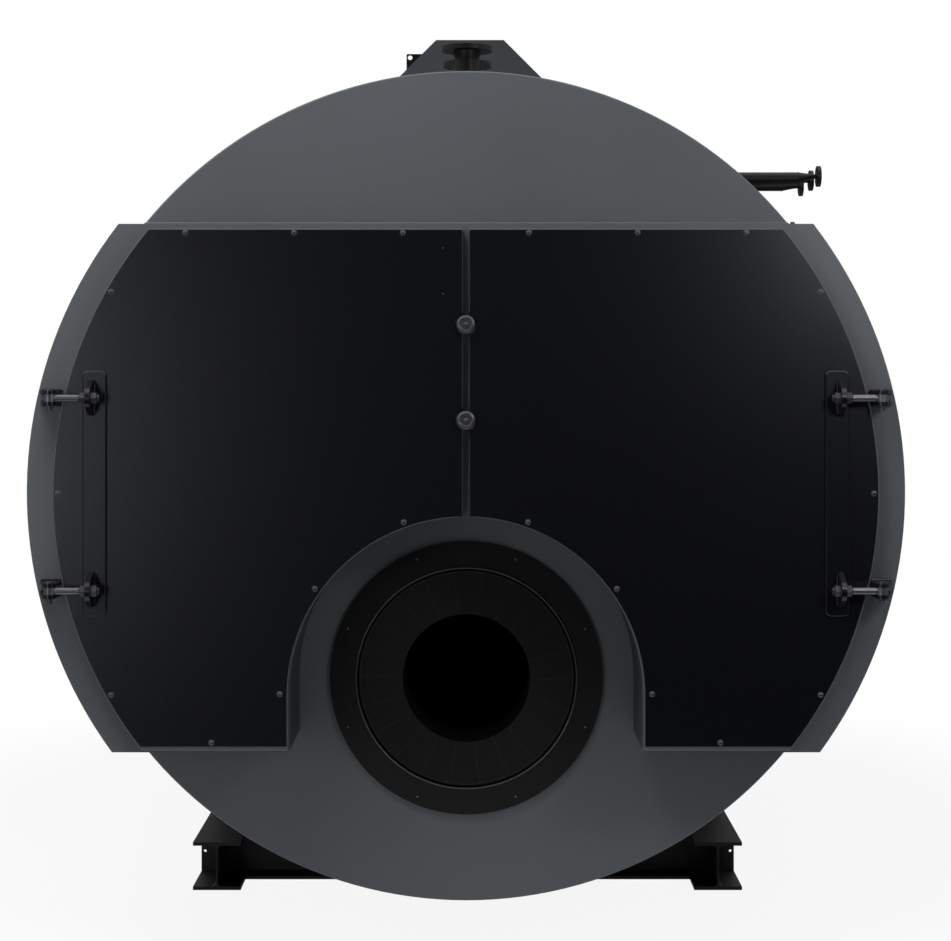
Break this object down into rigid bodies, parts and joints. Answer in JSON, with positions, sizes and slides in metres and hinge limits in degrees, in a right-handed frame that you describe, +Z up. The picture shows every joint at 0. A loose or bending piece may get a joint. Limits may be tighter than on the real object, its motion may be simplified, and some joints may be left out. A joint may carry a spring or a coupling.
{
  "type": "industrial boiler",
  "caption": "Horizontal fire-tube boiler: round jacket, front smokebox with hinged arched doors, burner opening, flanged nozzles, rear flue hood and a beam base.",
  "frame": {"origin": "middle of the whole part's footprint, on the ground under the base beams", "axes": "+Z up, -Y out of the boiler's front, +X to the right seen from the front"},
  "size_m": [3.4, 6.333, 4.588],
  "materials": {
    "jacket_grey": "satin dark grey paint",
    "door_black": "fine-textured black powder coat",
    "hinge_black": "semi-gloss black paint",
    "bolt_steel": "dark phosphated steel",
    "burner_black": "matte black heat-resistant paint",
    "refractory": "sooted castable refractory",
    "boiler_plate": "mill-scaled, sooted steel plate",
    "nozzle_black": "satin black paint",
    "base_black": "satin black paint"
  },
  "bodies": {
    "boiler": {"shell_jacket": "jacket_grey", "front_cladding": "jacket_grey", "rear_cladding": "jacket_grey", "front_tube_plate": "boiler_plate", "furnace_tube": "boiler_plate", "burner_plate": "burner_black", "throat_refractory": "refractory", "smokebox_roof": "jacket_grey", "smokebox_tunnel": "jacket_grey", "smokebox_left_floor": "jacket_grey", "smokebox_right_floor": "jacket_grey", "smokebox_left_wall": "jacket_grey", "smokebox_right_wall": "jacket_grey", "smokebox_frame": "jacket_grey", "crown_strip": "jacket_grey", "door_clamp_knobs": "bolt_steel", "left_hinge_ears": "hinge_black", "left_hinge_pins": "bolt_steel", "right_hinge_ears": "hinge_black", "right_hinge_pins": "bolt_steel", "crown_nozzle_1": "nozzle_black", "crown_nozzle_2": "nozzle_black", "side_nozzle_1": "nozzle_black", "side_nozzle_2": "nozzle_black", "side_nozzle_3": "nozzle_black", "side_nozzle_4": "nozzle_black", "left_base_beam": "base_black", "right_base_beam": "base_black", "front_cross_beam": "base_black", "rear_cross_beam": "base_black", "base_stiffeners": "base_black", "front_saddles": "base_black", "rear_saddles": "base_black", "rear_smokebox": "jacket_grey", "flue_hood": "jacket_grey", "hood_lug": "nozzle_black"},
    "left_door": {"left_door_body": "jacket_grey", "left_door_panel": "door_black", "left_door_lining": "refractory", "left_hinge_strap": "hinge_black", "left_eyebolts": "bolt_steel"},
    "right_door": {"right_door_body": "jacket_grey", "right_door_panel": "door_black", "right_door_lining": "refractory", "right_hinge_strap": "hinge_black", "right_eyebolts": "bolt_steel"}
  },
  "joints": [
    {"name": "left_door_hinge", "type": "hinge", "parent": "boiler", "child": "left_door", "pos_m": [-1.58542, -3.1245, 1.92], "axis": [0, 0, -1], "range_deg": [0, 110]},
    {"name": "right_door_hinge", "type": "hinge", "parent": "boiler", "child": "right_door", "pos_m": [1.58542, -3.1245, 1.92], "axis": [0, 0, 1], "range_deg": [0, 110]}
  ]
}
